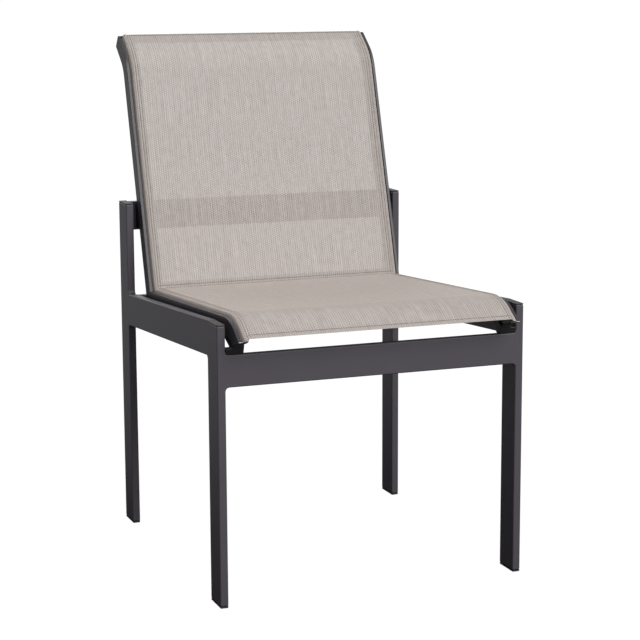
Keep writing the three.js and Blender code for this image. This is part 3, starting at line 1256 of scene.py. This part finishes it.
    def _stitches(self) -> list[bpy.types.Object]:
        """Sews the rows of stitches.

        Returns:
            The rows.
        """
        low, high = self.ends
        lifted = self.surface - self.row_dip + self.stitch_lift
        name = self.panel.value
        found = []
        first, last = low + self.side_row_setback, high - self.side_row_setback
        stops = spread(first, last, self.side_row_steps)
        for side in Side:
            for number, mark in enumerate(self.side_rows):
                x = side.value * (self.span - mark)
                path = [self._place(x, lifted, stop) for stop in stops]
                found.append(self._sew(path, f"{name}_{side.label}_stitches_{number + 1}"))
        reach = self.span - self.cross_row_setback
        xs = spread(-reach, reach, self.cross_row_steps)
        for number, row in enumerate(self.end_rows):
            path = [self._place(x, lifted, row) for x in xs]
            found.append(self._sew(path, f"{name}_cross_stitches_{number + 1}"))
        return found

    def _sew(self, path: list[list[float]], name: str) -> bpy.types.Object:
        """Sews one row: a stitch is shaped once, repeated, and laid along the path.

        Args:
            path: Points on the cloth.
            name: The row's name.

        Returns:
            The row.
        """
        length = sum(math.dist(start, end) for start, end in zip(path, path[1:]))
        deselect_all()
        bpy.ops.mesh.primitive_cylinder_add(
            vertices=6,
            radius=self.thread_radius,
            depth=self.stitch,
            location=(self.stitch_pitch / 2, 0, 0),
            rotation=(0, math.pi / 2, 0),
        )
        row = bpy.context.object
        bpy.ops.object.transform_apply(location=True, rotation=True, scale=True)
        select_parts(row, "EDGE", lambda edge: abs(edge.verts[0].co.x - edge.verts[1].co.x) < MM)
        bpy.ops.mesh.bevel(offset=self.stitch_end, segments=1)
        bpy.ops.object.mode_set(mode="OBJECT")
        curve = bpy.data.curves.new(f"{name}_path", "CURVE")
        curve.dimensions = "3D"
        line = curve.splines.new("POLY")
        line.points.add(len(path) - 1)
        for point, place in zip(line.points, path):
            point.co = (*place, 1.0)
        guide = bpy.data.objects.new(curve.name, curve)
        bpy.context.scene.collection.objects.link(guide)
        add_modifier(
            row,
            "ARRAY",
            count=int(length / self.stitch_pitch),
            use_relative_offset=False,
            use_constant_offset=True,
            constant_offset_displace=(self.stitch_pitch, 0, 0),
        )
        add_modifier(row, "CURVE", object=guide, deform_axis="POS_X")
        bpy.data.objects.remove(guide)
        pick(row)
        bpy.ops.object.shade_smooth()
        return finish_piece(row, name, self.thread)


@dataclass
class FrontBracket:
    """A welded bracket that lifts one sling rail's tip off the front rail.

    Its foot lies on the front rail, from the leg inwards. Over it stands a gusset under the
    sling rail, clear of the leg, so that there is a gap to look through between the two.
    """

    side: Side
    coat: bpy.types.Material
    foot_height: float = 10.5 * MM
    gusset_rise: float = math.radians(24)
    edge_radius: float = 1.2 * MM
    margin: float = 5 * MM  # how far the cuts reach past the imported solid

    @property
    def name(self) -> str:
        """The bracket's CAD node."""
        return f"{self.side.label}_front_bracket"

    @property
    def foot_top(self) -> float:
        """Height of the foot's top."""
        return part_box(self.name)[0].z + self.foot_height

    def build(self) -> bpy.types.Object:
        """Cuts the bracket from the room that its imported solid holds.

        Returns:
            The piece.
        """
        block = bpy.data.objects.new(self.name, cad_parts[self.name].data.copy())
        bpy.context.scene.collection.objects.link(block)
        merge_flat(block)
        for waste in (self._over_foot(), self._under_gusset()):
            combine(block, "DIFFERENCE", waste)
        merge_flat(block)
        round_edges(block, self.edge_radius)
        return finish_piece(block, f"{self.name}_block", self.coat, [self.name])

    def _room(self) -> tuple[Vector, Vector]:
        """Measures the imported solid's box with the margin around it.

        Returns:
            Its lowest and highest corners.
        """
        past = Vector((self.margin,) * 3)
        low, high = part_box(self.name)
        return low - past, high + past

    def _over_foot(self) -> bpy.types.Object:
        """The waste over the foot, from the leg to the sling rail's outer face.

        Returns:
            A box to cut away.
        """
        low, high = self._room()
        low.z = self.foot_top
        rail_low, rail_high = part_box(f"{self.side.label}_seat_rail")
        if self.side is Side.LEFT:
            high.x = rail_low.x
        else:
            low.x = rail_high.x
        return box_piece(low, high)

    def _under_gusset(self) -> bpy.types.Object:
        """The waste behind the foot and under the gusset's slanted underside.

        Returns:
            A wedge to cut away.
        """
        low, high = self._room()
        low.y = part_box("front_rail")[1].y
        high.z = self.foot_top
        waste = box_piece(low, high)
        rise = (high.y - low.y) * math.tan(self.gusset_rise)
        middle = (low + high) / 2
        lift_corners(waste, lambda corner: corner.y > middle.y and corner.z > middle.z, rise)
        return waste


@dataclass
class Fittings:
    """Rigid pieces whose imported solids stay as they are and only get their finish."""

    rail: bpy.types.Material
    bracket: bpy.types.Material
    cap: bpy.types.Material
    tip: bpy.types.Material
    spline: bpy.types.Material

    def dress(self) -> None:
        """Gives each node its material."""
        for name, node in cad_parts.items():
            if node.hide_render:
                continue
            material = self._material_for(name)
            if not node.material_slots:
                node.data.materials.append(material)
            for slot in node.material_slots:
                slot.material = material
            log.info("%s: finish %s", name, material.name)

    def _material_for(self, name: str) -> bpy.types.Material:
        """Chooses a node's finish.

        Args:
            name: The node's name.

        Returns:
            Its material.
        """
        endings = {
            "spline": self.spline,
            "seat_rail_cap": self.tip,
            "cap": self.cap,
            "glide": self.cap,
            "bracket": self.bracket,
        }
        found = (finish for ending, finish in endings.items() if name.endswith(ending))
        return next(found, self.rail)


@dataclass
class Studio:
    """The camera, the lamps, the world and the paper under the chair."""

    yaw: float = math.radians(20.89)
    pitch: float = math.radians(10.33)
    roll: float = math.radians(-0.26)
    focal_pixels: float = 1916.0
    frame_pixels: float = 640.0
    place: tuple[float, float, float] = (-1.1767, -3.1459, 1.0168)
    horizon_strength: float = 0.22
    overhead_strength: float = 0.7
    key_strength: float = 2.75
    key_from: tuple[float, float, float] = (0.34, -0.75, 0.56)
    fill_strength: float = 0.9
    fill_from: tuple[float, float, float] = (-0.05, 0.85, 0.45)
    overhead_focus: float = 2.0  # how closely the stronger light keeps to overhead
    softness: float = math.radians(50)
    floor_size: float = 400.0

    def build(self) -> None:
        """Sets up the whole studio."""
        self._camera()
        self._world()
        self._softbox("key", self.key_strength, self.key_from)
        self._softbox("fill", self.fill_strength, self.fill_from)
        self._floor()
        bpy.context.scene.view_settings.view_transform = "Standard"

    def _camera(self) -> None:
        """Places the camera at the photograph's angle."""
        yaw, pitch, roll = self.yaw, self.pitch, self.roll
        ahead = Vector(
            (math.sin(yaw) * math.cos(pitch), math.cos(yaw) * math.cos(pitch), -math.sin(pitch))
        )
        right = Vector((math.cos(yaw), -math.sin(yaw), 0))
        up = right.cross(ahead)
        turned_right = right * math.cos(roll) + up * math.sin(roll)
        turned_up = up * math.cos(roll) - right * math.sin(roll)
        data = bpy.data.cameras.new("camera")
        data.sensor_width = 36.0
        data.lens = self.focal_pixels / self.frame_pixels * data.sensor_width
        data.clip_end = 500.0
        camera = bpy.data.objects.new("camera", data)
        turn = Matrix((turned_right, turned_up, -ahead)).transposed().to_4x4()
        camera.matrix_world = Matrix.Translation(self.place) @ turn
        bpy.context.scene.collection.objects.link(camera)
        bpy.context.scene.camera = camera

    def _world(self) -> None:
        """Fills the shadows, mostly from overhead, and shows white behind the chair."""
        world = bpy.data.worlds.new("studio")
        world.use_nodes = True
        tree = world.node_tree
        tree.nodes.clear()
        way = add_node(tree, "TexCoord").outputs["Generated"]
        axes = add_node(tree, "SeparateXYZ", {0: way})
        rise = add_node(tree, "Math", {0: axes.outputs["Z"], 1: 0.0}, operation="MAXIMUM")
        steep = {0: rise.outputs[0], 1: self.overhead_focus}
        above = add_node(tree, "Math", steep, operation="POWER")
        strengths = {
            "Value": above.outputs[0],
            "To Min": self.horizon_strength,
            "To Max": self.overhead_strength,
        }
        dim = add_node(tree, "MapRange", strengths)
        seen = add_node(tree, "LightPath").outputs["Is Camera Ray"]
        choice = {0: seen, 2: dim.outputs["Result"], 3: 1.0}
        strength = add_node(tree, "Mix", choice, data_type="FLOAT")
        white = {"Color": linear("#ffffff"), "Strength": strength.outputs[0]}
        light = add_node(tree, "Background", white)
        add_node(tree, "OutputWorld", {"Surface": light.outputs[0]})
        bpy.context.scene.world = world

    def _softbox(self, name: str, strength: float, place: tuple[float, float, float]) -> None:
        """Adds a lamp as soft as a large softbox.

        Args:
            name: The lamp's name.
            strength: Its strength, in watts per square metre.
            place: The direction that its light comes from.
        """
        data = bpy.data.lights.new(name, "SUN")
        data.energy = strength
        data.angle = self.softness
        lamp = bpy.data.objects.new(name, data)
        lamp.rotation_euler = Vector(place).to_track_quat("Z", "Y").to_euler()
        bpy.context.scene.collection.objects.link(lamp)

    def _floor(self) -> None:
        """Lays the paper."""
        deselect_all()
        bpy.ops.mesh.primitive_plane_add(size=self.floor_size)
        floor = bpy.context.object
        floor.name = "studio_floor"
        floor.data.materials.append(StudioPaper().build())


def main() -> None:
    """Builds the studio and dresses the chair."""
    logging.basicConfig(level=logging.INFO, format="%(name)s: %(message)s")
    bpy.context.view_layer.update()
    Studio().build()
    coat = PowderCoat().build()
    BaseFrame(coat).build()
    profile = SideProfile()
    thread = SewingThread().build()
    see_through = {Panel.SEAT: 0.02, Panel.BACK: 0.07}  # the brace shows through the back
    for panel in Panel:
        cloth = CoatedMesh(f"{panel.value}_vinyl_coated_mesh", see_through[panel]).build()
        SlingPanel(panel, profile, cloth, thread).build()
    cap = GrainedPlastic("moulded_charcoal_nylon", "#353437").build()
    tip = CutPlate().build()
    spline = GrainedPlastic("extruded_white_pvc", "#d8d6d2").build()
    # near-black coat on the brackets under the rail tips: painted shade
    bracket = PowderCoat("black_powder_coated_bracket", "#1c1a1c", "#211f21").build()
    for side in Side:
        FrontBracket(side, bracket).build()
    # the sling rails get the frame's coat, made darker as painted shade
    rail = PowderCoat("powder_coated_extrusion", "#38353a", "#3c393e", 0.36).build()
    Fittings(rail, bracket, cap, tip, spline).dress()


if __name__ == "__main__":
    main()
